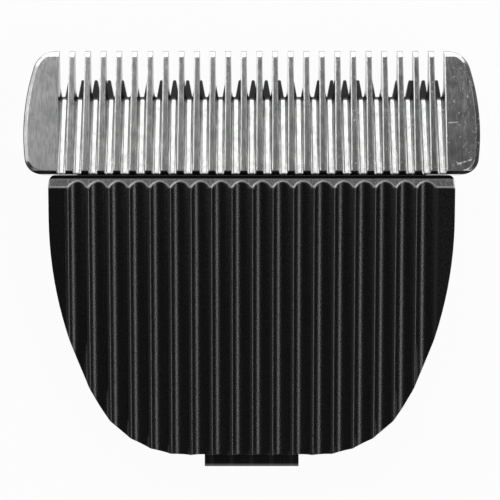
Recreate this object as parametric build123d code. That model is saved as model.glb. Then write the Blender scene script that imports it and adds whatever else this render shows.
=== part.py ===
from build123d import *
import math
import os

# Snap-in hair clipper blade set, in millimetres.
# +X is to the right, +Y to the comb tips, +Z to the skin side. The rim of the shell lies on Z = 0.

# Whole set
overall_length = 42.4
slide_face_height = 5.2
stroke = 2.6
running_clearance = 0.02
fit_clearance = 0.05
press_clearance = 0.01
overcut = 1.0

# Comb: a ground steel plate whose skin side and grooves slope down to the tips
comb_overhang = 2.8
comb_slot_count = 25
comb_tip_thickness = 0.55
comb_skin_angle = 9.0
open_slot_length = 4.75
rib_length = 12.43
rib_end_bevel_length = 0.24
rib_end_bevel_height = 0.2
tip_bevel_length = 0.6
tip_edge_height = 0.12
groove_angle = 15.0
groove_flat_width = 0.36
groove_corner_radius = 0.26
groove_draft = 3.5
guard_width = 3.16
guard_widest_from_tips = 8.0
guard_shoulder_radius = 2.4
guard_heel_radius = 1.75
guard_bevel_width = 0.45
guard_bevel_height = 0.3
tongue_thickness = 1.2
tongue_length = 8.3
tongue_side_gap = 1.1

# Cutter: black ceramic plate that slides across the back of the comb
cutter_tooth_count = 31
cutter_setback = 2.94
cutter_side_setback = 2.52
cutter_rear_gap = 1.15
cutter_thickness = 1.5
cutter_tip_width = 0.2
cutter_root_gap = 0.42
cutter_tooth_length = 1.7
cutter_tip_chamfer = 0.05
cutter_tip_thickness = 0.45
cutter_nose_length = 3.2
cutter_hollow_setback = 4.2
cutter_hollow_length = 2.6
cutter_hollow_depth = 0.2
cutter_rest_shift = 0.15

# Driver: moulded carrier that is pinned to the cutter and takes the cam of the clipper
driver_side_setback = 4.98
driver_bar_thickness = 1.4
driver_bar_setback = 0.4
driver_wall_gap = 0.2
driver_corner_radius = 1.2
driver_arm_length = 3.1
driver_arm_fillet = 1.2
driver_pin_diameter = 1.9
driver_pin_spacing = 20.0
driver_pin_depth = 1.1
drive_slot_width = 5.0
drive_slot_length = 6.8
drive_block_wall = 1.3
drive_block_bottom = 0.7
drive_block_top_gap = 0.7
spring_groove_depth = 0.5
spring_groove_setback = 0.8
spring_groove_play = 0.2

# Shell: one moulding with a fluted face, a skirt, a latch tab, lugs and bosses
shell_width = 40.4
shell_front_gap = 0.12
shell_wall = 1.5
face_thickness = 2.2
face_slope = 5.06
ledge_length = 0.35
front_bevel_length = 0.88
front_bevel_height = 0.55
side_straight_length = 4.35
side_arc_radius = 39.4
front_corner_radius = 0.6
rear_corner_radius = 10.3
flute_count = 18
flute_depth = 0.45
flute_land_width = 1.84
ridge_radius = 0.25
passage_shoulder = 0.6
tab_width = 9.6
tab_length = 1.42
tab_thickness = 1.6
tab_height = 3.2
tab_chamfer = 0.3
stiffener_spacing = 25.0
stiffener_thickness = 1.0
stiffener_height = 1.4
stiffener_length = 12.0
stiffener_setback = 2.0
catch_radius = 0.6
catch_length = 5.0
catch_height = 1.8
moulded_root = 0.5

# Comb screws and the bosses that they go into
screw_spacing = 22.0
screw_from_tongue_end = 3.9
screw_diameter = 2.0
screw_length = 2.0
screw_head_diameter = 4.4
screw_head_height = 1.2
screw_head_chamfer = 0.5
screw_recess_length = 2.2
screw_recess_width = 0.5
screw_recess_depth = 0.6
boss_diameter = 3.3

# Spring, its pin and the lugs that carry the pin
wire_diameter = 0.7
wire_facets = 6
coil_pin_diameter = 1.5
coil_pin_chamfer = 0.2
coil_clearance = 0.2
coil_turns = 2
coil_pitch = 0.8
coil_inner_offset = 4.7
coil_from_tongue_end = 7.6
spring_tip_length = 4.0
spring_bend_radius = 1.2
bridge_angle = 20.0
lug_thickness = 1.5
lug_gap = 0.4
lug_wall = 0.9

# Places of the comb
tip_y = overall_length / 2
rib_end_y = tip_y - rib_length
groove_end_y = rib_end_y - rib_end_bevel_length
groove_start_y = tip_y - open_slot_length
tongue_end_y = rib_end_y - tongue_length
comb_width = shell_width + 2 * comb_overhang
tongue_width = shell_width - 2 * (shell_wall + tongue_side_gap)
skin_slope = math.tan(math.radians(comb_skin_angle))
rib_end_z = slide_face_height + comb_tip_thickness + skin_slope * rib_length
seat_z = slide_face_height + tongue_thickness
comb_tooth_pitch = (comb_width - 2 * guard_width) / comb_slot_count
screw_y = tongue_end_y + screw_from_tongue_end

# Places of the shell
shell_front_y = groove_end_y - shell_front_gap
shell_rear_y = tab_length - overall_length / 2
hollow_front_y = shell_front_y - shell_wall
bevel_start_y = shell_front_y - ledge_length
bevel_end_y = bevel_start_y - front_bevel_length
face_height = seat_z + face_thickness
face_tangent = math.tan(math.radians(face_slope))
flute_pitch = (shell_width - 2 * flute_land_width) / flute_count
passage_width = tongue_width - 2 * passage_shoulder
catch_y = hollow_front_y - catch_length / 2

# Places of the cutter and the driver
cutter_tip_y = tip_y - cutter_setback
cutter_rear_y = shell_front_y + cutter_rear_gap
cutter_top_z = slide_face_height - running_clearance
cutter_bottom_z = cutter_top_z - cutter_thickness
cutter_width = comb_width - 2 * cutter_side_setback
cutter_tooth_pitch = (cutter_width + cutter_root_gap) / cutter_tooth_count
driver_width = cutter_width - 2 * driver_side_setback
bar_front_y = cutter_tip_y - cutter_nose_length - driver_bar_setback
bar_rear_y = shell_front_y + driver_wall_gap
bar_bottom_z = cutter_bottom_z - driver_bar_thickness
driver_pin_y = (bar_front_y + cutter_rear_y) / 2
drive_slot_front_y = bar_rear_y - driver_arm_length - drive_block_wall
drive_slot_rear_y = drive_slot_front_y - drive_slot_length
drive_block_top_z = slide_face_height - drive_block_top_gap
drive_block_width = drive_slot_width + 2 * drive_block_wall

# Places of the spring: its front legs run level from the foot of the coils to the driver groove
coil_radius = coil_pin_diameter / 2 + coil_clearance + wire_diameter / 2
coil_y = tongue_end_y - coil_from_tongue_end
coil_length = coil_pitch * (coil_turns + bridge_angle / 360)
coil_outer_offset = coil_inner_offset + coil_length
spring_groove_width = wire_diameter + spring_groove_play
spring_groove_y = bar_rear_y + spring_groove_setback + spring_groove_width / 2
leg_z = bar_bottom_z + spring_groove_depth - fit_clearance - wire_diameter / 2
leg_splay = coil_pitch / (2 * math.pi * coil_radius)
leg_tip_x = coil_outer_offset + leg_splay * (spring_groove_y - coil_y)
leg_room = (wire_diameter + stroke) / 2 + spring_groove_play
pin_z = leg_z + coil_radius
lug_inner_x = coil_outer_offset + wire_diameter / 2 + lug_gap
lug_outer_x = lug_inner_x + lug_thickness


def ceiling_z(y):
    """Height of the inner side of the shell's face, behind the comb tongue."""
    return seat_z + face_tangent * (y - tongue_end_y)


def yz_prism(points, width):
    """Prism of a side profile, given as (y, z) points, centred on X = 0."""
    outline = Polyline(*[(0, y, z) for y, z in points], close=True)
    return extrude(make_face(outline), amount=width / 2, dir=(1, 0, 0), both=True)


def block(x_range, y_range, z_range):
    """Box between three pairs of limits, each pair in either order."""
    pairs = [sorted(pair) for pair in (x_range, y_range, z_range)]
    size = [high - low for low, high in pairs]
    middle = [(high + low) / 2 for low, high in pairs]
    return Pos(*middle) * Box(*size)


def post(x, y, z_range, diameter):
    """Upright cylinder between two heights."""
    low, high = z_range
    return Pos(x, y, (low + high) / 2) * Cylinder(diameter / 2, high - low)


def top_face(solid):
    """The largest of the faces that look upward."""
    upward = [face for face in solid.faces() if face.normal_at().Z > 0]
    return max(upward, key=lambda face: face.area)


def comb_outline():
    """Plan of the comb ahead of the shell: a round-sided plate with rounded corners."""
    disc = Pos(0, tip_y - guard_widest_from_tips) * Circle(comb_width / 2)
    band = Pos(0, (tip_y + groove_end_y) / 2) * Rectangle(comb_width + overcut, tip_y - groove_end_y)
    plan = disc & band
    shoulders = plan.vertices().sort_by(Axis.Y)[-2:]
    plan = fillet(shoulders, guard_shoulder_radius)
    heels = plan.vertices().sort_by(Axis.Y)[:2]
    return fillet(heels, guard_heel_radius)


def groove_profile():
    """Section of one groove: a flat floor, rounded corners and walls with draft."""
    draft = math.radians(groove_draft)
    foot = groove_flat_width / 2 + groove_corner_radius * math.tan(math.pi / 4 - draft / 2)
    height = rib_end_z - slide_face_height + open_slot_length
    top = foot + height * math.tan(draft)
    section = make_face(Polyline((-foot, 0), (foot, 0), (top, height), (-top, height), close=True))
    floor_corners = section.vertices().sort_by(Axis.Y)[:2]
    return fillet(floor_corners, groove_corner_radius)


def comb_wedge():
    """The comb ahead of the shell before its grooves are ground, with bevelled guard edges."""
    bevel_top_z = slide_face_height + comb_tip_thickness + skin_slope * tip_bevel_length
    side = [
        (tip_y, slide_face_height),
        (tip_y, slide_face_height + tip_edge_height),
        (tip_y - tip_bevel_length, bevel_top_z),
        (rib_end_y, rib_end_z),
        (groove_end_y, rib_end_z - rib_end_bevel_height),
        (groove_end_y, slide_face_height),
    ]
    height = rib_end_z - slide_face_height + overcut
    plan = extrude(Pos(0, 0, slide_face_height) * comb_outline(), amount=height)
    wedge = plan & yz_prism(side, comb_width + overcut)
    skin = top_face(wedge)
    guard_rims = [edge for edge in skin.edges() if abs(edge.center().X) > comb_width / 4]
    return chamfer(guard_rims, guard_bevel_width, guard_bevel_height, reference=skin)


def make_comb():
    """Wedge plate with a groove between each two teeth that opens to a slot near the tips."""
    tilt = math.radians(groove_angle)
    mouth_y = tip_y + overcut
    mouth_z = slide_face_height - (mouth_y - groove_start_y) * math.tan(tilt)
    rearward = (0, -math.cos(tilt), math.sin(tilt))
    run = (mouth_y - groove_end_y + overcut) / math.cos(tilt)
    mouth = Plane((0, mouth_y, mouth_z), x_dir=(1, 0, 0), z_dir=rearward)
    groove = extrude(mouth * groove_profile(), amount=run)
    middle = (comb_slot_count - 1) / 2
    shifts = [(index - middle) * comb_tooth_pitch for index in range(comb_slot_count)]
    comb = comb_wedge() - [Pos(x, 0, 0) * groove for x in shifts]

    half = tongue_width / 2
    comb += block((-half, half), (tongue_end_y, groove_end_y), (slide_face_height, seat_z))
    through = (slide_face_height - overcut, seat_z + overcut)
    for x in (-screw_spacing / 2, screw_spacing / 2):
        comb -= post(x, screw_y, through, boss_diameter + 2 * fit_clearance)
    return comb


def cutter_notch():
    """The gap between two cutter teeth, cut through the plate."""
    mouth = (cutter_tooth_pitch - cutter_tip_width) / 2
    right_side = [
        (cutter_root_gap / 2, cutter_tip_y - cutter_tooth_length),
        (mouth - cutter_tip_chamfer, cutter_tip_y - cutter_tip_chamfer),
        (mouth, cutter_tip_y),
        (mouth, cutter_tip_y + overcut),
    ]
    left_side = [(-x, y) for x, y in reversed(right_side)]
    plan = make_face(Polyline(*right_side, *left_side, close=True))
    return extrude(Pos(0, 0, cutter_bottom_z - overcut) * plan, amount=cutter_thickness + 2 * overcut)


def make_cutter():
    """Toothed plate with a thin nose, a hollow across its sliding face and two driver holes."""
    side = [
        (cutter_tip_y, cutter_top_z),
        (cutter_tip_y, cutter_top_z - cutter_tip_thickness),
        (cutter_tip_y - cutter_nose_length, cutter_bottom_z),
        (cutter_rear_y, cutter_bottom_z),
        (cutter_rear_y, cutter_top_z),
    ]
    cutter = yz_prism(side, cutter_width)
    hollow_y = cutter_tip_y - cutter_hollow_setback
    hollow_z = (cutter_top_z - cutter_hollow_depth, cutter_top_z + overcut)
    cutter -= block((-cutter_width, cutter_width), (hollow_y - cutter_hollow_length, hollow_y), hollow_z)
    notch = cutter_notch()
    gaps = range(cutter_tooth_count + 1)
    cutter = cutter - [Pos((i - cutter_tooth_count / 2) * cutter_tooth_pitch, 0, 0) * notch for i in gaps]
    through = (cutter_bottom_z - overcut, cutter_top_z + overcut)
    for x in (-driver_pin_spacing / 2, driver_pin_spacing / 2):
        cutter -= post(x, driver_pin_y, through, driver_pin_diameter + 2 * fit_clearance)
    return cutter


def driver_body():
    """Bar under the cutter and the arm behind it, joined with round inner corners."""
    half = driver_width / 2
    arm = drive_block_width / 2
    bar = block((-half, half), (bar_rear_y, bar_front_y), (bar_bottom_z, cutter_bottom_z))
    bar = fillet(bar.edges().filter_by(Axis.Z).group_by(Axis.Y)[-1], driver_corner_radius)
    body = bar + block((-arm, arm), (drive_slot_front_y, bar_rear_y), (bar_bottom_z, cutter_bottom_z))
    upright = body.edges().filter_by(Axis.Z)
    at_bar = [edge for edge in upright if abs(edge.center().Y - bar_rear_y) < fit_clearance]
    inner_corners = [edge for edge in at_bar if abs(edge.center().X) < half - fit_clearance]
    return fillet(inner_corners, driver_arm_fillet)


def make_driver():
    """Carrier with two pins, a groove for the spring tips and a drive slot behind the bar."""
    arm = drive_block_width / 2
    block_front_y = drive_slot_front_y + drive_block_wall
    block_rear_y = drive_slot_rear_y - drive_block_wall
    ring = block((-arm, arm), (block_rear_y, block_front_y), (drive_block_bottom, drive_block_top_z))
    ring = fillet(ring.edges().filter_by(Axis.Z).group_by(Axis.Y)[0], drive_block_wall)
    driver = driver_body() + ring
    slot_half = drive_slot_width / 2
    slot_z = (drive_block_bottom - overcut, drive_block_top_z + overcut)
    driver -= block((-slot_half, slot_half), (drive_slot_rear_y, drive_slot_front_y), slot_z)

    groove_rear_y = spring_groove_y - spring_groove_width / 2
    groove_front_y = spring_groove_y + spring_groove_width / 2
    groove_z = (bar_bottom_z - overcut, bar_bottom_z + spring_groove_depth)
    pin_z_range = (bar_bottom_z + spring_groove_depth, cutter_bottom_z + driver_pin_depth)
    for side in (-1, 1):
        near = side * (leg_tip_x - leg_room)
        mouth = side * (leg_tip_x + leg_room)
        far = side * (leg_tip_x + spring_tip_length + leg_room)
        driver -= block((near, far), (groove_rear_y, groove_front_y), groove_z)
        driver -= block((near, mouth), (bar_rear_y - overcut, groove_front_y), groove_z)
        driver += post(side * driver_pin_spacing / 2, driver_pin_y, pin_z_range, driver_pin_diameter)
    return driver


def shell_outline(inset):
    """Plan of the shell, or of its hollow when inset by the wall."""
    half = shell_width / 2 - inset
    front = shell_front_y - inset
    rear = shell_rear_y + inset
    arc_radius = side_arc_radius - inset
    arc_y = shell_front_y - side_straight_length
    middle_y = (arc_y + rear) / 2
    middle_x, rear_x = [
        half - arc_radius + math.sqrt(arc_radius**2 - (arc_y - y) ** 2) for y in (middle_y, rear)
    ]
    edges = [Line((-half, front), (half, front)), Line((-rear_x, rear), (rear_x, rear))]
    for side in (-1, 1):
        arc_points = [(side * half, arc_y), (side * middle_x, middle_y), (side * rear_x, rear)]
        edges.append(Line((side * half, front), (side * half, arc_y)))
        edges.append(ThreePointArc(*arc_points))
    plan = make_face(edges)
    plan = fillet(plan.vertices().sort_by(Axis.Y)[:2], rear_corner_radius - inset)
    return fillet(plan.vertices().sort_by(Axis.Y)[-2:], front_corner_radius)


def flute_cutter():
    """Solid whose underside is a row of round flutes with softened ridges between them."""
    turn = 2 * math.atan(2 * flute_depth / flute_pitch)
    shoulder_x = ridge_radius * math.sin(turn)
    shoulder_z = ridge_radius * (math.cos(turn) - 1)
    crest_x = ridge_radius * math.sin(turn / 2)
    crest_z = ridge_radius * (math.cos(turn / 2) - 1)
    last = flute_count / 2 * flute_pitch
    edges = []
    for index in range(flute_count):
        start = index * flute_pitch - last
        end = start + flute_pitch
        entry = (start + shoulder_x, shoulder_z)
        leave = (end - shoulder_x, shoulder_z)
        edges.append(ThreePointArc((start, 0), (start + crest_x, crest_z), entry))
        edges.append(ThreePointArc(entry, ((start + end) / 2, -flute_depth), leave))
        edges.append(ThreePointArc(leave, (end - crest_x, crest_z), (end, 0)))
    edges.append(Polyline((last, 0), (last, face_thickness), (-last, face_thickness), (-last, 0)))
    tilt = math.radians(face_slope)
    rearward = Vector(0, -math.cos(tilt), -math.sin(tilt))
    place = Plane((0, bevel_end_y, face_height), x_dir=(1, 0, 0), z_dir=rearward)
    section = place * make_face(edges)
    ahead = ledge_length + front_bevel_length + overcut
    cutter = extrude(section, amount=overall_length, dir=rearward)
    return cutter + extrude(section, amount=ahead, dir=-rearward)


def fluted_cap():
    """The outside of the shell: a solid with a fluted, slightly sloping face and a front bevel."""
    ledge_z = face_height - front_bevel_height
    side = [
        (shell_front_y, 0),
        (shell_front_y, ledge_z),
        (bevel_start_y, ledge_z),
        (bevel_end_y, face_height),
        (shell_rear_y, face_height - face_tangent * (bevel_end_y - shell_rear_y)),
        (shell_rear_y, 0),
    ]
    plan = extrude(shell_outline(0), amount=face_height + overcut)
    return (plan & yz_prism(side, shell_width + overcut)) - flute_cutter()


def shell_hollow():
    """The space inside the skirt, under the comb tongue and the sloping face."""
    side = [
        (hollow_front_y, -overcut),
        (hollow_front_y, seat_z),
        (tongue_end_y, seat_z),
        (shell_rear_y, ceiling_z(shell_rear_y)),
        (shell_rear_y, -overcut),
    ]
    plan = Pos(0, 0, -overcut) * shell_outline(shell_wall)
    return extrude(plan, amount=face_height + overcut) & yz_prism(side, shell_width)


def latch_tab():
    """The tongue at the rear edge that hooks under the body of the clipper."""
    half = tab_width / 2
    y_range = (-overall_length / 2, shell_rear_y + shell_wall / 2)
    tab = block((-half, half), y_range, (tab_height, tab_height + tab_thickness))
    return chamfer(tab.edges().filter_by(Axis.X).group_by(Axis.Y)[0], tab_chamfer)


def inner_features(side):
    """Spring lug, stiffening rib, snap catch and screw boss of one side, with side -1 or 1."""
    lug_x = side * (lug_inner_x + lug_thickness / 2)
    lug_radius = coil_pin_diameter / 2 + lug_wall
    lug_y = (coil_y - lug_radius, coil_y + lug_radius)
    lug_z = (pin_z, ceiling_z(coil_y) + moulded_root)
    lug = Pos(lug_x, coil_y, pin_z) * Rot(0, 90, 0) * Cylinder(lug_radius, lug_thickness)
    lug += block((side * lug_inner_x, side * lug_outer_x), lug_y, lug_z)

    rib_front = tongue_end_y - stiffener_setback
    rib_rear = rib_front - stiffener_length
    rib_profile = [
        (rib_front, ceiling_z(rib_front) + moulded_root),
        (rib_front, ceiling_z(rib_front) - stiffener_height),
        (rib_rear, ceiling_z(rib_rear) - stiffener_height),
        (rib_rear, ceiling_z(rib_rear) + moulded_root),
    ]
    rib = Pos(side * stiffener_spacing / 2, 0, 0) * yz_prism(rib_profile, stiffener_thickness)

    wall_x = side * (shell_width / 2 - shell_wall)
    catch = Pos(wall_x, catch_y, catch_height) * Rot(90, 0, 0) * Cylinder(catch_radius, catch_length)
    boss_z = (slide_face_height + fit_clearance, seat_z + moulded_root)
    boss = post(side * screw_spacing / 2, screw_y, boss_z, boss_diameter)
    return [lug, rib, catch, boss]


def make_shell():
    """Fluted tray with an open front for the comb tongue and the driver."""
    through_wall = (hollow_front_y - overcut, shell_front_y + overcut)
    slot = tongue_width / 2 + fit_clearance
    passage = passage_width / 2
    shell = fluted_cap() - shell_hollow()
    shell -= block((-slot, slot), through_wall, (slide_face_height, seat_z))
    shell -= block((-passage, passage), through_wall, (-overcut, seat_z))
    shell += latch_tab()
    for side in (-1, 1):
        shell = shell + inner_features(side)
    pin_hole = coil_pin_diameter / 2 + press_clearance
    shell -= Pos(0, coil_y, pin_z) * Rot(0, 90, 0) * Cylinder(pin_hole, 2 * lug_outer_x + overcut)
    screw_z = (slide_face_height - overcut, slide_face_height + screw_length + fit_clearance)
    for x in (-screw_spacing / 2, screw_spacing / 2):
        shell -= post(x, screw_y, screw_z, screw_diameter + 2 * press_clearance)
    return shell


def make_screws():
    """Pan head screws with a cross recess, heads down on the back of the comb."""
    head_bottom = slide_face_height - screw_head_height
    head = post(0, 0, (head_bottom, slide_face_height), screw_head_diameter)
    lower_rim = head.edges().filter_by(GeomType.CIRCLE).sort_by(Axis.Z)[0]
    head = chamfer(lower_rim, screw_head_chamfer)
    screw = head + post(0, 0, (slide_face_height, slide_face_height + screw_length), screw_diameter)
    recess_z = (head_bottom - overcut, head_bottom + screw_recess_depth)
    long_half = screw_recess_length / 2
    short_half = screw_recess_width / 2
    screw -= block((-long_half, long_half), (-short_half, short_half), recess_z)
    screw -= block((-short_half, short_half), (-long_half, long_half), recess_z)
    return [Pos(x, screw_y, 0) * screw for x in (-screw_spacing / 2, screw_spacing / 2)]


def make_spring():
    """Double torsion spring: tips in the driver groove, coils on the pin, bridge under the face."""
    coil_place = Plane((coil_outer_offset, coil_y, pin_z), x_dir=(0, 0, -1), z_dir=(-1, 0, 0))
    coil = coil_place * Helix(coil_pitch, coil_length, coil_radius)

    tip = (leg_tip_x + spring_tip_length, spring_groove_y, leg_z)
    corner = (leg_tip_x, spring_groove_y, leg_z)
    coil_start = (coil_outer_offset, coil_y, leg_z)
    front_leg = FilletPolyline(tip, corner, coil_start, radius=spring_bend_radius)

    rise = math.radians(bridge_angle)
    end_y = coil_y - coil_radius * math.sin(rise)
    end_z = pin_z - coil_radius * math.cos(rise)
    wire_room = wire_diameter / 2 / math.cos(math.radians(face_slope)) + fit_clearance
    bridge_run = (ceiling_z(end_y) - wire_room - end_z) / (math.tan(rise) + face_tangent)
    bridge_x = coil_inner_offset - leg_splay * bridge_run / math.cos(rise)
    bridge_y = end_y - bridge_run
    bridge_z = end_z + bridge_run * math.tan(rise)
    coil_end = (coil_inner_offset, end_y, end_z)
    bend = (bridge_x, bridge_y, bridge_z)
    middle = (0, bridge_y, bridge_z)
    rear_leg = FilletPolyline(coil_end, bend, middle, radius=spring_bend_radius)

    path = Wire(front_leg.edges() + coil.edges() + rear_leg.edges())
    section = Plane(tip, z_dir=(-1, 0, 0)) * RegularPolygon(wire_diameter / 2, wire_facets)
    half = sweep(section, path=path)
    return half + mirror(half, about=Plane.YZ)


def make_pin():
    """Plain pin through both lugs, with a small chamfer at each end."""
    pin = Pos(0, coil_y, pin_z) * Rot(0, 90, 0) * Cylinder(coil_pin_diameter / 2, 2 * lug_outer_x)
    return chamfer(pin.edges().filter_by(GeomType.CIRCLE), coil_pin_chamfer)


os.makedirs("parts", exist_ok=True)
at_rest = Pos(cutter_rest_shift, 0, 0)
pieces = {
    "base_shell": make_shell(),
    "comb_blade": make_comb(),
    "cutter_blade": at_rest * make_cutter(),
    "cutter_driver": at_rest * make_driver(),
    "tension_spring": make_spring(),
    "spring_pin": make_pin(),
    "comb_screws": Compound(children=make_screws()),
}
for name, piece in pieces.items():
    export_step(piece, f"parts/{name}.step")
    print(name, round(piece.volume, 2), "mm3")
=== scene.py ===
# %% [markdown]
# # Dressing a hair clipper blade set
#
# The solids of the set are already right: a grooved steel comb, a cutter that slides under it, and a
# fluted plastic shell. They are loaded here as a fixed frame, in metres, with the comb's tips at +Y and
# the skin side at +Z. What is left for Blender is the looks: what each surface is made of, the light
# that shows it, and the camera.

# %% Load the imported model
import math

import bpy
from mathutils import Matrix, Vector


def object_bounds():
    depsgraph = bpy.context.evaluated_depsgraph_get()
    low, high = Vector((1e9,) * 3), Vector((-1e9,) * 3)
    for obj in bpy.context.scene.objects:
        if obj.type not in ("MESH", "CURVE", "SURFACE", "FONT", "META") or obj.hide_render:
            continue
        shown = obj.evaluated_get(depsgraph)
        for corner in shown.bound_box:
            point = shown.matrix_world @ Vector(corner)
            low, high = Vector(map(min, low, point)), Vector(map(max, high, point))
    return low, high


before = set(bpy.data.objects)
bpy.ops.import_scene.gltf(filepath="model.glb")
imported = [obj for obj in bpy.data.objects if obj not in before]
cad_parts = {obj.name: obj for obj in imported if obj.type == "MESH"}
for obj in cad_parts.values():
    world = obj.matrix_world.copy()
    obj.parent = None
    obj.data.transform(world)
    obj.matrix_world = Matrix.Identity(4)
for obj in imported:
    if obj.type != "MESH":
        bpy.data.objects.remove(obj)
cad_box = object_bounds()
print("nodes:", ", ".join(sorted(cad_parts)))
print("box in mm:", [[round(value * 1000.0, 2) for value in corner] for corner in cad_box])

# %% [markdown]
# ## Colours and nodes
#
# Colours are easiest to write down as sRGB hex values, but the shader works in linear light, so one
# function converts them. A second one adds a node: it takes plain values for some sockets, and
# other nodes' outputs for those that are to be linked. Pattern scales are worked out from real sizes:
# a noise of scale 1000 has features about 1 mm across, because Blender's unit here is the metre.
#
# A Mix node keeps its sockets for numbers, vectors and colours side by side, and only their places tell
# them apart, so those places get names.


# %% Small helpers
def linear(hex_colour):
    """Turns an sRGB hex colour into linear red, green, blue and a full alpha."""
    values = [int(hex_colour[place:place + 2], 16) / 255.0 for place in (1, 3, 5)]
    return [v / 12.92 if v <= 0.04045 else ((v + 0.055) / 1.055) ** 2.4 for v in values] + [1.0]


def per_size(millimetres):
    """Gives the texture scale whose features are about this wide."""
    return 1000.0 / millimetres


def add(tree, kind, sockets=None, **settings):
    """Adds a node, sets its options, and fills its sockets with values or links."""
    node = tree.nodes.new("ShaderNode" + kind)
    for name, value in settings.items():
        setattr(node, name, value)
    for name, value in (sockets or {}).items():
        if isinstance(value, bpy.types.NodeSocket):
            tree.links.new(value, node.inputs[name])
        else:
            node.inputs[name].default_value = value
    return node


def new_finish(name, **constants):
    """Starts a material and sets the shader values that are the same all over it."""
    material = bpy.data.materials.new(name)
    material.use_nodes = True
    shader = material.node_tree.nodes["Principled BSDF"]
    for socket, value in constants.items():
        shader.inputs[socket.replace("_", " ")].default_value = value
    return material, material.node_tree, shader


SHARE = 0
NUMBER_A, NUMBER_B = 2, 3
VECTOR_A, VECTOR_B = 4, 5
COLOUR_A, COLOUR_B = 6, 7
MIXED_NUMBER, MIXED_VECTOR, MIXED_COLOUR = 0, 1, 2
print("white as linear:", linear("#ffffff"), "a 0.5 mm pattern has scale", per_size(0.5))

# %% [markdown]
# ## The comb: ground stainless steel
#
# The comb is a hardened stainless plate. Its skin side was ground to a wedge, the grooves were ground
# with a thin wheel, and the tips and edges were broken with a stone. Grinding leaves fine lines along
# the wheel's path, which here runs with the teeth. An image texture could carry them, but lines made
# from a stretched noise stay sharp at any size. To the eye they give a grey silk with a direction.

# %% Ground steel: tone and grind lines
steel, tree, shader = new_finish("ground_stainless_steel", Metallic=1.0)
place = add(tree, "TexCoord").outputs["Object"]

# Grind lines are about 0.02 mm apart; they are drawn at 0.16 mm, because finer ones don't show.
line_width, line_length = 0.16, 4.0
lines_stretch = add(tree, "Mapping", {
    "Vector": place,
    "Scale": (per_size(line_width), per_size(line_length), per_size(line_width)),
})
grind_lines = add(tree, "TexNoise", {"Vector": lines_stretch.outputs[0], "Scale": 1.0, "Detail": 3.0})
# Soft clouds of 1.6 mm come from uneven pressure and from fingerprints.
clouds = add(tree, "TexNoise", {
    "Vector": place, "Scale": per_size(1.6), "Detail": 4.0, "Roughness": 0.75,
})
tone = add(tree, "Math", {0: grind_lines.outputs["Fac"], 1: clouds.outputs["Fac"]}, operation="ADD")
tone_share = add(tree, "MapRange", {"Value": tone.outputs[0], "From Min": 0.75, "From Max": 1.25})
steel_colour = add(tree, "Mix", {
    SHARE: tone_share.outputs[0], COLOUR_A: linear("#b9baba"), COLOUR_B: linear("#dededd"),
}, data_type="RGBA")
print("ground steel has", len(tree.nodes), "nodes so far")

# %% [markdown]
# ### Wear on the steel
#
# The skin side lies on tables and in drawers, so it carries marks: small bright specks where grit has
# dented the steel, more of them on the right, and a few longer scratches and one faint streak on the
# right guard. A scratch is drawn as the distance to a short line: `t` is how far along the line the
# nearest point is, and what is closer than half the scratch's width is bright. A noise breaks it up.

# %% Ground steel: specks and scratches
# Specks are 0.15 mm dents, drawn at 0.35 mm so that they show.
speck_noise = add(tree, "TexNoise", {
    "Vector": place, "Scale": per_size(0.35), "Detail": 3.0, "Roughness": 0.6,
})
speck_spots = add(tree, "MapRange", {
    "Value": speck_noise.outputs["Fac"], "From Min": 0.60, "From Max": 0.76,
})
spot = add(tree, "SeparateXYZ", {"Vector": place})
speck_share = add(tree, "MapRange", {
    "Value": spot.outputs["X"], "From Min": -0.005, "From Max": 0.022, "To Min": 0.05, "To Max": 0.6,
})
specks = add(tree, "Math", {0: speck_spots.outputs[0], 1: speck_share.outputs[0]}, operation="MULTIPLY")
marks = specks.outputs[0]

# Each scratch: start and end on the right guard in mm (X, Y), its width in mm, and how bright it is.
scratches = [
    ((19.70, 13.73), (21.17, 13.86), 0.14, 1.0),
    ((20.60, 9.55), (22.30, 10.10), 0.18, 0.8),
    ((20.50, 9.75), (21.00, 9.45), 0.14, 0.7),
    ((21.45, 10.20), (21.50, 19.20), 0.45, 0.16),
]
breaks = add(tree, "TexNoise", {"Vector": place, "Scale": per_size(0.5), "Detail": 2.0})
broken = add(tree, "MapRange", {"Value": breaks.outputs["Fac"], "From Min": 0.42, "From Max": 0.60})
flat_place = add(tree, "VectorMath", {0: place, 1: (1.0, 1.0, 0.0)}, operation="MULTIPLY")
for start, end, width, strength in scratches:
    start_m = (start[0] / 1000.0, start[1] / 1000.0, 0.0)
    run_m = ((end[0] - start[0]) / 1000.0, (end[1] - start[1]) / 1000.0, 0.0)
    run_squared = run_m[0] ** 2 + run_m[1] ** 2
    half_width_m = width / 2000.0
    from_start = add(tree, "VectorMath", {0: flat_place.outputs[0], 1: start_m}, operation="SUBTRACT")
    along = add(tree, "VectorMath", {0: from_start.outputs[0], 1: run_m}, operation="DOT_PRODUCT")
    t = add(tree, "MapRange", {"Value": along.outputs["Value"], "From Max": run_squared})
    nearest = add(tree, "VectorMath", {0: run_m, "Scale": t.outputs[0]}, operation="SCALE")
    gap = add(tree, "VectorMath", {0: from_start.outputs[0], 1: nearest.outputs[0]}, operation="DISTANCE")
    line = add(tree, "MapRange", {
        "Value": gap.outputs["Value"], "From Min": half_width_m, "From Max": half_width_m / 3,
        "To Max": strength,
    })
    worn = add(tree, "Math", {0: line.outputs[0], 1: broken.outputs[0]}, operation="MULTIPLY")
    marks = add(tree, "Math", {0: marks, 1: worn.outputs[0]}, operation="MAXIMUM").outputs[0]
print(len(scratches), "scratches drawn")
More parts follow.
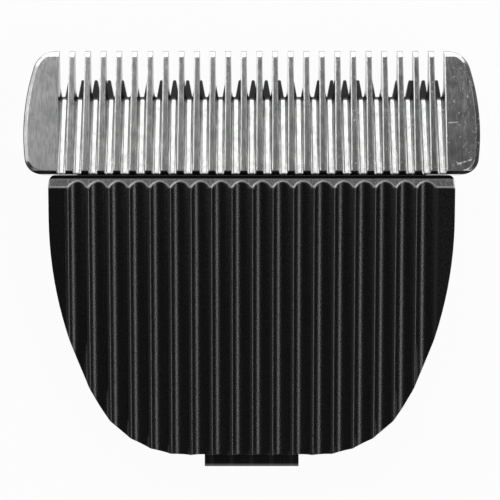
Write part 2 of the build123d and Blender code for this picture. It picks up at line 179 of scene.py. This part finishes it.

# %% [markdown]
# ### Marks, tips and slot walls
#
# Marks are rougher than the ground face, so they scatter light and look pale from any side. The tip
# bevels were stoned last and are the palest steel. The steep walls of the open slots are painted a
# darker grey: painted shade, in place of the dark those walls show, which keeps the teeth apart from the
# white that shows between them.

# %% Ground steel: colour and roughness
marked_colour = add(tree, "Mix", {
    SHARE: marks, COLOUR_A: steel_colour.outputs[MIXED_COLOUR], COLOUR_B: linear("#f2f2f0"),
}, data_type="RGBA")
ground_roughness = add(tree, "MapRange", {
    "Value": tone.outputs[0], "From Min": 0.7, "From Max": 1.3, "To Min": 0.13, "To Max": 0.19,
})
marked_roughness = add(tree, "Mix", {
    SHARE: marks, NUMBER_A: ground_roughness.outputs[0], NUMBER_B: 0.6,
})

# The tips are the foremost points of the whole set. Their pale part starts 0.7 mm behind them.
tip_y = cad_box[1][1]
pale_tip_y = tip_y - 0.0007
tip_blend = 0.00012
tip_share = add(tree, "MapRange", {
    "Value": spot.outputs["Y"], "From Min": pale_tip_y, "From Max": pale_tip_y + tip_blend,
})
tip_colour = add(tree, "Mix", {
    SHARE: tip_share.outputs[0],
    COLOUR_A: marked_colour.outputs[MIXED_COLOUR],
    COLOUR_B: linear("#eeeeed"),
}, data_type="RGBA")

open_slot_length = 0.0048
true_normal = add(tree, "NewGeometry").outputs["True Normal"]
lean = add(tree, "SeparateXYZ", {"Vector": true_normal})
sideways = add(tree, "Math", {0: lean.outputs["X"]}, operation="ABSOLUTE")
wall = add(tree, "MapRange", {"Value": sideways.outputs[0], "From Min": 0.75, "From Max": 0.95})
in_slot = add(tree, "Math", {0: spot.outputs["Y"], 1: tip_y - open_slot_length}, operation="GREATER_THAN")
painted_shade_slot_wall = add(tree, "Math", {0: wall.outputs[0], 1: in_slot.outputs[0]}, operation="MULTIPLY")
# Painted shade: the steep walls of the open slots are mixed to a darker grey.
wall_shaded_colour = add(tree, "Mix", {
    SHARE: painted_shade_slot_wall.outputs[0],
    COLOUR_A: tip_colour.outputs[MIXED_COLOUR],
    COLOUR_B: linear("#a4a4a4"),
}, data_type="RGBA")
print("tips at Y", round(tip_y * 1000.0, 2), "mm, slots open", open_slot_length * 1000.0, "mm long")

# %% [markdown]
# ### Broken edges
#
# The edges of a solid are perfectly sharp, and real ones never are. A Bevel node rounds the shading
# without touching the mesh. The ribs were stoned along their edges, so there it reaches a quarter of a
# millimetre and draws a light line along each rib. The guards and the tips stay crisp.

# %% Ground steel: rounded shading
ribs_half_width = 0.0197
crisp_radius, broken_radius = 0.00005, 0.00024
crisp_edges = add(tree, "Bevel", {"Radius": crisp_radius}, samples=8)
broken_edges = add(tree, "Bevel", {"Radius": broken_radius}, samples=8)
from_middle = add(tree, "Math", {0: spot.outputs["X"]}, operation="ABSOLUTE")
off_ribs = add(tree, "Math", {0: from_middle.outputs[0], 1: ribs_half_width}, operation="GREATER_THAN")
crisp_share = add(tree, "Math", {0: tip_share.outputs[0], 1: off_ribs.outputs[0]}, operation="MAXIMUM")
soft_edges = add(tree, "Mix", {
    SHARE: crisp_share.outputs[0],
    VECTOR_A: broken_edges.outputs[0],
    VECTOR_B: crisp_edges.outputs[0],
}, data_type="VECTOR")
print("broken edges within", ribs_half_width * 1000.0, "mm of the middle")

# %% [markdown]
# ### Dark outlines
#
# A thin dark outline of painted shade is drawn round the comb where the steel turns away: at the lower
# rim of the guards' bevels and round the tips. The guards' rim is found by its depth below the sloping
# skin plane, and the edge of a tip by how far the rounded normal of a Bevel node drops below the true
# one.

# %% Ground steel: outline of guards and tips
tip_rounding = add(tree, "Bevel", {"Radius": 0.00025}, samples=8)
rounded = add(tree, "SeparateXYZ", {"Vector": tip_rounding.outputs[0]})
drop = add(tree, "Math", {0: lean.outputs["Z"], 1: rounded.outputs["Z"]}, operation="SUBTRACT")
turned_down = add(tree, "MapRange", {"Value": drop.outputs[0], "From Min": 0.06, "From Max": 0.22})
tip_edge = add(tree, "Math", {0: turned_down.outputs[0], 1: tip_share.outputs[0]}, operation="MULTIPLY")

# The skin plane is this high over the table at Y = 0 and falls by the slope towards the tips.
skin_height = 0.009108
skin_slope = 0.1584
skin_depth = add(tree, "VectorMath", {0: place, 1: (0.0, -skin_slope, -1.0)}, operation="DOT_PRODUCT")
rim_depth, rim_blend = 0.00022, 0.00004
guard_rim = add(tree, "MapRange", {
    "Value": skin_depth.outputs["Value"],
    "From Min": rim_depth - skin_height,
    "From Max": rim_depth + rim_blend - skin_height,
})
guard_start = 0.0202
on_guard = add(tree, "Math", {0: from_middle.outputs[0], 1: guard_start}, operation="GREATER_THAN")
behind_tip = add(tree, "Math", {0: 1.0, 1: tip_share.outputs[0]}, operation="SUBTRACT")
guard_side = add(tree, "Math", {0: on_guard.outputs[0], 1: behind_tip.outputs[0]}, operation="MULTIPLY")
guard_edge = add(tree, "Math", {0: guard_rim.outputs[0], 1: guard_side.outputs[0]}, operation="MULTIPLY")
either_edge = add(tree, "Math", {0: guard_edge.outputs[0], 1: tip_edge.outputs[0]}, operation="MAXIMUM")
print("outline starts", rim_depth * 1000.0, "mm below the skin plane")

# %% [markdown]
# ### Painted shade behind the ribs
#
# The same painted dark is put on the rear ends of the ribs, next to the shell, as shade there. Only a
# thin layer below the skin plane gets it, so the groove floors are not darkened. Steep walls are left out
# of the whole outline, because they look dark already.

# %% Ground steel: rib ends
# Painted shade on the rear ends of the ribs, next to the shell.
rib_end_y, rib_end_blend = 0.00893, 0.00006
skin_layer = 0.0003
near_shell = add(tree, "MapRange", {
    "Value": spot.outputs["Y"], "From Min": rib_end_y, "From Max": rib_end_y - rib_end_blend,
})
near_skin = add(tree, "Math", {
    0: skin_depth.outputs["Value"], 1: skin_layer - skin_height,
}, operation="LESS_THAN")
shaded_rib_end = add(tree, "Math", {0: near_shell.outputs[0], 1: near_skin.outputs[0]}, operation="MULTIPLY")
any_edge = add(tree, "Math", {0: either_edge.outputs[0], 1: shaded_rib_end.outputs[0]}, operation="MAXIMUM")
facing_up = add(tree, "MapRange", {"Value": lean.outputs["Z"], "From Min": 0.5, "From Max": 0.6})
# Painted shade: the mask of the dark outline round guards, tips and rib ends.
painted_dark_outline = add(tree, "Math", {0: any_edge.outputs[0], 1: facing_up.outputs[0]}, operation="MULTIPLY")
print("painted_shade behind Y", rib_end_y * 1000.0, "mm")

# %% [markdown]
# ### Putting the steel together
#
# The painted outline of shade darkens and dulls the steel below it. The grind lines feed a weak bump,
# which breaks up the reflections of the lamps.

# %% Ground steel: shader
# The dark outline colour is painted shade.
outline_shaded_colour = add(tree, "Mix", {
    SHARE: painted_dark_outline.outputs[0],
    COLOUR_A: wall_shaded_colour.outputs[MIXED_COLOUR],
    COLOUR_B: linear("#303030"),
}, data_type="RGBA")
edged_roughness = add(tree, "Mix", {
    SHARE: painted_dark_outline.outputs[0], NUMBER_A: marked_roughness.outputs[MIXED_NUMBER], NUMBER_B: 0.5,
})
lines_bump = add(tree, "Bump", {
    "Strength": 0.05, "Distance": 0.00002,
    "Height": grind_lines.outputs["Fac"], "Normal": soft_edges.outputs[MIXED_VECTOR],
})
tree.links.new(outline_shaded_colour.outputs[MIXED_COLOUR], shader.inputs["Base Color"])
tree.links.new(edged_roughness.outputs[MIXED_NUMBER], shader.inputs["Roughness"])
tree.links.new(lines_bump.outputs[0], shader.inputs["Normal"])
print("ground steel:", len(tree.nodes), "nodes")

# %% [markdown]
# ## The cutter: black zirconia
#
# Ceramic cutters are pressed and fired zirconia, ground flat with diamond. The black kind is nearly as
# dark as the shell, but denser and slightly glossy, with a high index of refraction. Its teeth are
# painted dark grey at the tips and blacker at the roots: painted light towards the tips and painted shade
# towards the roots, under the comb. Fine diamond lines run across.

# %% Black zirconia
zirconia, tree, shader = new_finish("ground_black_zirconia", IOR=2.15)
place = add(tree, "TexCoord").outputs["Object"]
# Diamond lines are about 0.01 mm apart; they are drawn at 0.1 mm so that they show.
line_length, line_width = 3.0, 0.10
lines_stretch = add(tree, "Mapping", {
    "Vector": place,
    "Scale": (per_size(line_length), per_size(line_width), per_size(line_width)),
})
diamond_lines = add(tree, "TexNoise", {"Vector": lines_stretch.outputs[0], "Scale": 1.0, "Detail": 2.0})
speckle = add(tree, "TexNoise", {"Vector": place, "Scale": per_size(0.3), "Detail": 3.0})
ceramic_colour = add(tree, "Mix", {
    SHARE: speckle.outputs["Fac"], COLOUR_A: linear("#0f0f10"), COLOUR_B: linear("#1c1c1d"),
}, data_type="RGBA")
# Painted light and shade: the teeth go from black at the roots to dark grey at the tips.
tooth_root_y, tooth_tip_y = 0.0168, 0.0181
tooth = add(tree, "SeparateXYZ", {"Vector": place})
tip_share = add(tree, "MapRange", {
    "Value": tooth.outputs["Y"], "From Min": tooth_root_y, "From Max": tooth_tip_y,
})
shaded_tooth_colour = add(tree, "Mix", {
    SHARE: tip_share.outputs[0],
    COLOUR_A: ceramic_colour.outputs[MIXED_COLOUR],
    COLOUR_B: linear("#343435"),
}, data_type="RGBA")
ceramic_roughness = add(tree, "MapRange", {
    "Value": diamond_lines.outputs["Fac"], "From Min": 0.3, "From Max": 0.7,
    "To Min": 0.40, "To Max": 0.55,
})
soft_edges = add(tree, "Bevel", {"Radius": 0.00006}, samples=6)
lines_bump = add(tree, "Bump", {
    "Strength": 0.10, "Distance": 0.00001,
    "Height": diamond_lines.outputs["Fac"], "Normal": soft_edges.outputs[0],
})
tree.links.new(shaded_tooth_colour.outputs[MIXED_COLOUR], shader.inputs["Base Color"])
tree.links.new(ceramic_roughness.outputs[0], shader.inputs["Roughness"])
tree.links.new(lines_bump.outputs[0], shader.inputs["Normal"])
print("black zirconia:", len(tree.nodes), "nodes")

# %% [markdown]
# ## The shell: moulded black ABS
#
# The shell is injection moulded ABS, black right through, from a mould that was spark eroded to a fine
# grain. The grain makes the light lines along the flutes look sandy. The plastic itself is a smooth
# dielectric, so the gloss comes from the IOR and a middling roughness. Slow changes of tone come from
# the flow of the melt.

# %% Moulded ABS: grain and tone
abs_black, tree, shader = new_finish("moulded_black_abs", IOR=1.54)
place = add(tree, "TexCoord").outputs["Object"]
# The grain is about 0.1 mm across; it is drawn at 0.2 mm so that it shows.
grain = add(tree, "TexNoise", {
    "Vector": place, "Scale": per_size(0.20), "Detail": 2.0, "Roughness": 0.6,
})
flow = add(tree, "TexNoise", {"Vector": place, "Scale": per_size(6.0), "Detail": 2.0})
black = add(tree, "Mix", {
    SHARE: flow.outputs["Fac"], COLOUR_A: linear("#070707"), COLOUR_B: linear("#0c0c0c"),
}, data_type="RGBA")
grain_roughness = add(tree, "MapRange", {
    "Value": grain.outputs["Fac"], "From Min": 0.3, "From Max": 0.7, "To Min": 0.22, "To Max": 0.34,
})
print("moulded ABS has", len(tree.nodes), "nodes so far")

# %% [markdown]
# ### Highlight painted on the ridges
#
# The ridges between the flutes get a painted highlight: a greyer colour in place of the light line that
# runs along each ridge, with a smoother finish than the grain beside them. They lie at whole multiples of
# the flute pitch, so a ping-pong of X gives the distance to the nearest one. The flat lands at the sides
# have no ridge, and nothing inside gets the highlight.
# The narrow ledge under the comb was never grained in the mould, so it is the glossiest black.

# %% Moulded ABS: painted highlight on the ridges
flute_pitch = 0.00204
outer_ridge = 9 * flute_pitch
ridge_reach, ridge_core = 0.00026, 0.00012
ridge_margin = 0.0002
bevel_end_y = 0.0072
ledge_y = 0.00805
spot = add(tree, "SeparateXYZ", {"Vector": place})
true_normal = add(tree, "NewGeometry").outputs["True Normal"]
lean = add(tree, "SeparateXYZ", {"Vector": true_normal})
upward = add(tree, "MapRange", {"Value": lean.outputs["Z"], "From Min": 0.5, "From Max": 0.7})
from_ridge = add(tree, "Math", {0: spot.outputs["X"], 1: flute_pitch / 2}, operation="PINGPONG")
near_ridge = add(tree, "MapRange", {
    "Value": from_ridge.outputs[0], "From Min": ridge_reach, "From Max": ridge_core,
})
from_middle = add(tree, "Math", {0: spot.outputs["X"]}, operation="ABSOLUTE")
fluted = add(tree, "Math", {
    0: from_middle.outputs[0], 1: outer_ridge + ridge_margin,
}, operation="LESS_THAN")
ridge_top = add(tree, "Math", {0: near_ridge.outputs[0], 1: fluted.outputs[0]}, operation="MULTIPLY")
behind_bevel = add(tree, "Math", {0: spot.outputs["Y"], 1: bevel_end_y}, operation="LESS_THAN")
on_face = add(tree, "Math", {0: behind_bevel.outputs[0], 1: upward.outputs[0]}, operation="MULTIPLY")
ridge_highlight = add(tree, "Math", {0: ridge_top.outputs[0], 1: on_face.outputs[0]}, operation="MULTIPLY")
# Painted highlight: the ridges are mixed to a greyer black.
ridge_highlight_black = add(tree, "Mix", {
    SHARE: ridge_highlight.outputs[0], COLOUR_A: black.outputs[MIXED_COLOUR], COLOUR_B: linear("#262626"),
}, data_type="RGBA")
ridge_roughness = add(tree, "Mix", {
    SHARE: ridge_highlight.outputs[0], NUMBER_A: grain_roughness.outputs[0], NUMBER_B: 0.22,
})
ledge = add(tree, "Math", {0: spot.outputs["Y"], 1: ledge_y}, operation="GREATER_THAN")
abs_roughness = add(tree, "Mix", {
    SHARE: ledge.outputs[0], NUMBER_A: ridge_roughness.outputs[MIXED_NUMBER], NUMBER_B: 0.12,
})
print("ridges every", flute_pitch * 1000.0, "mm")

# %% [markdown]
# ### Rim of the front bevel
#
# A painted highlight runs along the scalloped rim where the front bevel cuts the flutes, in place of the
# light that the rim's edges catch. The rim is where the rounded normal of a Bevel node departs from the
# true one, so their difference is a mask for the highlight along the edge. It is kept between the bevel's
# two ends in Y, and it is stronger on the sides of the scallops that face right.

# %% Moulded ABS: painted highlight on the rim
wide_edges = add(tree, "Bevel", {"Radius": 0.00030}, samples=8)
turn = add(tree, "VectorMath", {0: wide_edges.outputs[0], 1: true_normal}, operation="DISTANCE")
turned = add(tree, "MapRange", {"Value": turn.outputs["Value"], "From Min": 0.06, "From Max": 0.32})
# The painted highlight fades in over 0.2 mm at the rear of the bevel, and out over 0.08 mm before the
# ledge.
highlight_starts, highlight_is_full = bevel_end_y - 0.00025, bevel_end_y - 0.00005
highlight_fades, highlight_ends = ledge_y - 0.00010, ledge_y - 0.00002
before_ledge = add(tree, "MapRange", {
    "Value": spot.outputs["Y"], "From Min": highlight_ends, "From Max": highlight_fades,
})
near_front = add(tree, "MapRange", {
    "Value": spot.outputs["Y"], "From Min": highlight_starts, "From Max": highlight_is_full,
})
rim_place = add(tree, "Math", {
    0: before_ledge.outputs[0], 1: near_front.outputs[0],
}, operation="MULTIPLY")
rim_upward = add(tree, "Math", {0: rim_place.outputs[0], 1: upward.outputs[0]}, operation="MULTIPLY")
rounding = add(tree, "SeparateXYZ", {"Vector": wide_edges.outputs[0]})
rim_side = add(tree, "MapRange", {
    "Value": rounding.outputs["X"], "From Min": -0.3, "From Max": 0.25, "To Min": 0.3, "To Max": 1.0,
})
rim_share = add(tree, "Math", {0: turned.outputs[0], 1: rim_side.outputs[0]}, operation="MULTIPLY")
# Painted highlight: the mask of the light rim along the scallops.
rim = add(tree, "Math", {0: rim_share.outputs[0], 1: rim_upward.outputs[0]}, operation="MULTIPLY")
print("rim wear from Y", round(highlight_starts * 1000.0, 2), "to", round(highlight_ends * 1000.0, 2), "mm")

# %% [markdown]
# ### Scuffs on the front bevel
#
# The face of the bevel has short slanted scuffs, from a stretched and turned noise. Only faces that lean
# towards the comb have them, which the surface normal tells. The grain of the mould is a bump all over
# the shell, apart from the ridges with the painted highlight.

# %% Moulded ABS: scuffs and shader
bevel_face = add(tree, "MapRange", {"Value": lean.outputs["Y"], "From Min": 0.25, "From Max": 0.45})
front_only = add(tree, "Math", {0: bevel_face.outputs[0], 1: upward.outputs[0]}, operation="MULTIPLY")
# Scuffs are hair-fine; they are drawn 0.1 mm wide so that they show.
scuff_stretch = add(tree, "Mapping", {
    "Vector": place,
    "Rotation": (0.0, 0.0, math.radians(-50.0)),
    "Scale": (per_size(0.10), per_size(0.9), per_size(0.5)),
})
scuffs = add(tree, "TexNoise", {"Vector": scuff_stretch.outputs[0], "Scale": 1.0, "Detail": 2.0})
scuff_share = add(tree, "MapRange", {
    "Value": scuffs.outputs["Fac"], "From Min": 0.42, "From Max": 0.80, "To Max": 0.16,
})
face_wear = add(tree, "Math", {0: scuff_share.outputs[0], 1: front_only.outputs[0]}, operation="MULTIPLY")
# Real scuffs on the bevel face, together with the painted highlight of the rim.
scuffs_and_rim_highlight = add(tree, "Math", {0: face_wear.outputs[0], 1: rim.outputs[0]}, operation="MAXIMUM")
scuffed_and_highlit_black = add(tree, "Mix", {
    SHARE: scuffs_and_rim_highlight.outputs[0],
    COLOUR_A: ridge_highlight_black.outputs[MIXED_COLOUR],
    COLOUR_B: linear("#e2e2e2"),
}, data_type="RGBA")
soft_edges = add(tree, "Bevel", {"Radius": 0.00006}, samples=6)
off_ridge_highlight = add(tree, "Math", {0: 1.0, 1: ridge_highlight.outputs[0]}, operation="SUBTRACT")
open_grain = add(tree, "Math", {0: grain.outputs["Fac"], 1: off_ridge_highlight.outputs[0]}, operation="MULTIPLY")
grain_bump = add(tree, "Bump", {
    "Strength": 1.0, "Distance": 0.000018,
    "Height": open_grain.outputs[0], "Normal": soft_edges.outputs[0],
})
tree.links.new(scuffed_and_highlit_black.outputs[MIXED_COLOUR], shader.inputs["Base Color"])
tree.links.new(abs_roughness.outputs[MIXED_NUMBER], shader.inputs["Roughness"])
tree.links.new(grain_bump.outputs[0], shader.inputs["Normal"])
print("moulded ABS:", len(tree.nodes), "nodes")

# %% [markdown]
# ## The driver: moulded acetal
#
# The driver under the cutter is rubbed by the drive cam at full speed, so such pieces are moulded from
# acetal, which is slippery and a little waxy. Black acetal is greyer than ABS and its gloss is softer.

# %% Moulded acetal
acetal, tree, shader = new_finish("moulded_black_acetal", IOR=1.48)
place = add(tree, "TexCoord").outputs["Object"]
wax = add(tree, "TexNoise", {"Vector": place, "Scale": per_size(1.5), "Detail": 3.0})
grain = add(tree, "TexNoise", {"Vector": place, "Scale": per_size(0.2), "Detail": 2.0})
acetal_colour = add(tree, "Mix", {
    SHARE: wax.outputs["Fac"], COLOUR_A: linear("#191919"), COLOUR_B: linear("#282828"),
}, data_type="RGBA")
acetal_roughness = add(tree, "MapRange", {
    "Value": wax.outputs["Fac"], "From Min": 0.3, "From Max": 0.7, "To Min": 0.38, "To Max": 0.5,
})
soft_edges = add(tree, "Bevel", {"Radius": 0.00012}, samples=6)
grain_bump = add(tree, "Bump", {
    "Strength": 0.15, "Distance": 0.00001,
    "Height": grain.outputs["Fac"], "Normal": soft_edges.outputs[0],
})
tree.links.new(acetal_colour.outputs[MIXED_COLOUR], shader.inputs["Base Color"])
tree.links.new(acetal_roughness.outputs[0], shader.inputs["Roughness"])
tree.links.new(grain_bump.outputs[0], shader.inputs["Normal"])
print("moulded acetal:", len(tree.nodes), "nodes")

# %% [markdown]
# ## The spring and its pin: drawn steel wire
#
# Spring wire is pulled through a die, which leaves it bright with faint scores along its length, and
# tempering tints it slightly warm. The coils wind about the X axis, so scores that follow the wire lie
# nearly in planes across X: a noise that is fine in X and long in Y and Z draws them well enough.

# %% Drawn spring wire
wire, tree, shader = new_finish("drawn_spring_steel", Metallic=1.0)
place = add(tree, "TexCoord").outputs["Object"]
# Die scores are a few hundredths of a millimetre wide; they are drawn at 0.08 mm so that they show.
score_stretch = add(tree, "Mapping", {
    "Vector": place, "Scale": (per_size(0.08), per_size(1.2), per_size(1.2)),
})
scores = add(tree, "TexNoise", {"Vector": score_stretch.outputs[0], "Scale": 1.0, "Detail": 2.0})
tint = add(tree, "TexNoise", {"Vector": place, "Scale": per_size(2.0), "Detail": 2.0})
wire_colour = add(tree, "Mix", {
    SHARE: tint.outputs["Fac"], COLOUR_A: linear("#a29f9a"), COLOUR_B: linear("#c4c2be"),
}, data_type="RGBA")
wire_roughness = add(tree, "MapRange", {
    "Value": scores.outputs["Fac"], "From Min": 0.3, "From Max": 0.7, "To Min": 0.2, "To Max": 0.36,
})
score_bump = add(tree, "Bump", {"Strength": 0.12, "Distance": 0.00001, "Height": scores.outputs["Fac"]})
tree.links.new(wire_colour.outputs[MIXED_COLOUR], shader.inputs["Base Color"])
tree.links.new(wire_roughness.outputs[0], shader.inputs["Roughness"])
tree.links.new(score_bump.outputs[0], shader.inputs["Normal"])
print("drawn wire:", len(tree.nodes), "nodes")

# %% [markdown]
# ## The screws: zinc plated steel
#
# Small screws are barrel plated with zinc. Tumbling in the barrel leaves a fine, slightly uneven,
# silvery skin with a cool tint and no direction to it. Voronoi cells stand for its crystals.

# %% Zinc plate
zinc, tree, shader = new_finish("barrel_plated_zinc", Metallic=1.0)
place = add(tree, "TexCoord").outputs["Object"]
# The crystals are far finer than 0.1 mm; they are drawn at 0.25 mm so that they show.
crystals = add(tree, "TexVoronoi", {"Vector": place, "Scale": per_size(0.25)})
patches = add(tree, "TexNoise", {"Vector": place, "Scale": per_size(0.8), "Detail": 3.0})
zinc_colour = add(tree, "Mix", {
    SHARE: patches.outputs["Fac"], COLOUR_A: linear("#a8acb0"), COLOUR_B: linear("#ced0d2"),
}, data_type="RGBA")
zinc_roughness = add(tree, "MapRange", {
    "Value": patches.outputs["Fac"], "From Min": 0.3, "From Max": 0.7, "To Min": 0.24, "To Max": 0.40,
})
soft_edges = add(tree, "Bevel", {"Radius": 0.00006}, samples=6)
crystal_bump = add(tree, "Bump", {
    "Strength": 0.08, "Distance": 0.00001,
    "Height": crystals.outputs["Distance"], "Normal": soft_edges.outputs[0],
})
tree.links.new(zinc_colour.outputs[MIXED_COLOUR], shader.inputs["Base Color"])
tree.links.new(zinc_roughness.outputs[0], shader.inputs["Roughness"])
tree.links.new(crystal_bump.outputs[0], shader.inputs["Normal"])
print("zinc plate:", len(tree.nodes), "nodes")

# %% [markdown]
# ## Giving each solid its finish
#
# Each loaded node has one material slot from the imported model, so its finish goes into that slot. The
# meshes themselves stay as they are.

# %% Assign the finishes
finishes = {
    "comb_blade": steel,
    "cutter_blade": zirconia,
    "base_shell": abs_black,
    "cutter_driver": acetal,
    "tension_spring": wire,
    "spring_pin": wire,
    "comb_screws": zinc,
}
for node_name, finish in finishes.items():
    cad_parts[node_name].material_slots[0].material = finish
    print(node_name, "->", finish.name)

# %% [markdown]
# ## The table
#
# The set lies on a white table that blends into the background. The table is a large plane at the
# height of the shell's rim. To stay white whatever the lamps do, most of what the camera and mirror-like
# surfaces see of it is a plain white glow of strength 1, and the rest is real diffuse white that
# takes the set's shadow.

# %% Table and its white
half_side = 3.0
table_corners = [
    (-half_side, -half_side, 0.0),
    (half_side, -half_side, 0.0),
    (half_side, half_side, 0.0),
    (-half_side, half_side, 0.0),
]
table_mesh = bpy.data.meshes.new("white_table")
table_mesh.from_pydata(table_corners, [], [(0, 1, 2, 3)])
table = bpy.data.objects.new("white_table", table_mesh)
bpy.context.scene.collection.objects.link(table)

glow_part = 0.95
matt_white, tree, shader = new_finish("matt_white_board", Roughness=0.9)
shader.inputs["Base Color"].default_value = linear("#f4f4f4")
rays = add(tree, "LightPath")
seen = add(tree, "Math", {
    0: rays.outputs["Is Camera Ray"], 1: rays.outputs["Is Glossy Ray"],
}, operation="MAXIMUM")
seen_or_through = add(tree, "Math", {
    0: seen.outputs[0], 1: rays.outputs["Is Transmission Ray"],
}, operation="MAXIMUM")
glow_share = add(tree, "Math", {0: seen_or_through.outputs[0], 1: glow_part}, operation="MULTIPLY")
white_glow = add(tree, "Emission", {"Color": linear("#ffffff"), "Strength": 1.0})
board = add(tree, "MixShader", {
    0: glow_share.outputs[0], 1: shader.outputs[0], 2: white_glow.outputs[0],
})
tree.links.new(board.outputs[0], tree.nodes["Material Output"].inputs["Surface"])
table_mesh.materials.append(matt_white)
print("table:", 2 * half_side, "m square at z = 0")

# %% [markdown]
# ## Light
#
# Steel shows what is around it, so the lamps are placed by what each face reflects to a camera straight
# above. The groove floors lean 15 degrees and mirror what is 36 degrees away, beyond the tips: a softbox
# there makes them white. The tip bevels mirror the horizon, where a low card stands. The rounded edges of
# the ribs sweep across both sides of the room, so an edge strip and a high card on each side draw the
# light lines along them. A pale card low on the left lights the edges that face it, and a strip at the
# right, beside the shell, draws the two lines along each flute.
#
# An area lamp of power P and area A has the brightness P / (pi * A), so its power is worked out from the
# brightness that it should have, where 1 is paper white.


# %% Lamps
def soft_lamp(name, place_m, aim_m, width, height, brightness):
    """Adds a rectangular lamp that faces a point and has this brightness."""
    data = bpy.data.lights.new(name, "AREA")
    data.shape = "RECTANGLE"
    data.size = width
    data.size_y = height
    data.energy = brightness * math.pi * width * height
    lamp = bpy.data.objects.new(name, data)
    bpy.context.scene.collection.objects.link(lamp)
    lamp.location = place_m
    direction = [aim - place for aim, place in zip(aim_m, place_m)]
    lamp.rotation_euler = Vector(direction).to_track_quat("-Z", "Y").to_euler()
    lamp.visible_camera = False
    print(name, "power", round(data.energy, 2), "W")


comb_middle = (0.0, 0.0, 0.007)
soft_lamp("softbox_beyond_tips", (0.0, 0.45, 0.46), (0.0, 0.0, 0.46),
          width=0.40, height=0.52, brightness=1.6)
soft_lamp("strip_right", (0.32, -0.14, 0.383), (0.0, -0.14, 0.0),
          width=0.52, height=0.12, brightness=4.2)
soft_lamp("edge_strip_right", (0.385, 0.195, 0.345), comb_middle,
          width=0.08, height=0.42, brightness=1.0)
soft_lamp("edge_strip_left", (-0.385, 0.195, 0.345), comb_middle,
          width=0.08, height=0.42, brightness=2.0)
soft_lamp("high_card_left", (-0.50, 0.33, 0.32), (0.0, 0.33, 0.32),
          width=0.26, height=0.34, brightness=2.2)
soft_lamp("high_card_right", (0.50, 0.33, 0.32), (0.0, 0.33, 0.32),
          width=0.26, height=0.34, brightness=0.7)
soft_lamp("card_left", (-0.50, 0.32, 0.17), (0.0, 0.32, 0.17),
          width=0.6, height=0.34, brightness=0.9)
soft_lamp("low_card_beyond_tips", (-0.075, 0.44, 0.1), (-0.075, 0.0, 0.1),
          width=1.05, height=0.2, brightness=1.75)

# %% [markdown]
# ## The room
#
# The rest of the room is a soft gradient. It is dim over the camera and just behind it, so that the black
# plastic stays black. Beyond the tips the ceiling is grey, lighter on the left than on the right, which
# the guards and the tops of the ribs mirror. A grey wall far behind the shell gives the steel something
# to mirror when it is seen from the tips. The camera itself sees plain white where there is no table.

# %% World gradient
world = bpy.data.worlds.new("studio_room")
bpy.context.scene.world = world
world.use_nodes = True
tree = world.node_tree
backdrop = tree.nodes["Background"]
direction = add(tree, "TexCoord").outputs["Generated"]
aim = add(tree, "SeparateXYZ", {"Vector": direction})
beyond_tips = add(tree, "MapRange", {
    "Value": aim.outputs["Y"], "From Min": 0.22, "From Max": 0.36,
}, interpolation_type="SMOOTHSTEP")

# Each stop: the sideways part of the direction, and the grey of the ceiling there.
ceiling_levels = [
    (-0.40, 0.04),
    (-0.27, 0.50),
    (-0.17, 0.50),
    (-0.13, 0.29),
    (0.00, 0.205),
    (0.12, 0.115),
    (0.17, 0.085),
    (0.30, 0.03),
]
# A colour ramp runs from 0 to 1, so half of that is added to directions around 0.
ramp_middle = 0.5
across = add(tree, "Math", {0: aim.outputs["X"], 1: ramp_middle}, operation="ADD")
left_to_right = add(tree, "ValToRGB", {"Fac": across.outputs[0]})
stops = left_to_right.color_ramp.elements
while len(stops) < len(ceiling_levels):
    stops.new(1.0)
for stop, (sideways, grey) in zip(stops, ceiling_levels):
    stop.position = sideways + ramp_middle
    stop.color = (grey, grey, grey, 1.0)

dim_level, wall_level = 0.05, 0.35
grey_ceiling = add(tree, "Math", {
    0: beyond_tips.outputs[0], 1: left_to_right.outputs[0],
}, operation="MULTIPLY")
back_wall = add(tree, "MapRange", {
    "Value": aim.outputs["Y"], "From Min": -0.35, "From Max": -0.65,
    "To Min": dim_level, "To Max": wall_level,
}, interpolation_type="SMOOTHSTEP")
room_level = add(tree, "Math", {0: grey_ceiling.outputs[0], 1: back_wall.outputs[0]}, operation="ADD")
rays = add(tree, "LightPath")
level = add(tree, "Math", {
    0: room_level.outputs[0], 1: rays.outputs["Is Camera Ray"],
}, operation="MAXIMUM")
tree.links.new(level.outputs[0], backdrop.inputs["Color"])
print("room: dim", dim_level, "back wall", wall_level, "ceiling stops", len(stops))

# %% [markdown]
# ## Camera
#
# The picture was taken straight from above with little perspective. A camera 131.5 mm above the rim
# with a 36 mm sensor sees 50.4 mm across at the height of the comb with a lens of 89 mm.

# %% Camera
camera_height = 0.1315
camera_data = bpy.data.cameras.new("top_camera")
camera_data.sensor_width = 36.0
camera_data.lens = 89.2
camera_data.clip_start = 0.01
camera = bpy.data.objects.new("top_camera", camera_data)
bpy.context.scene.collection.objects.link(camera)
camera.location = (-0.00017, 0.00095, camera_height)
bpy.context.scene.camera = camera
bpy.context.scene.view_settings.view_transform = "Standard"
print("camera at", [round(value * 1000.0, 2) for value in camera.location], "mm")
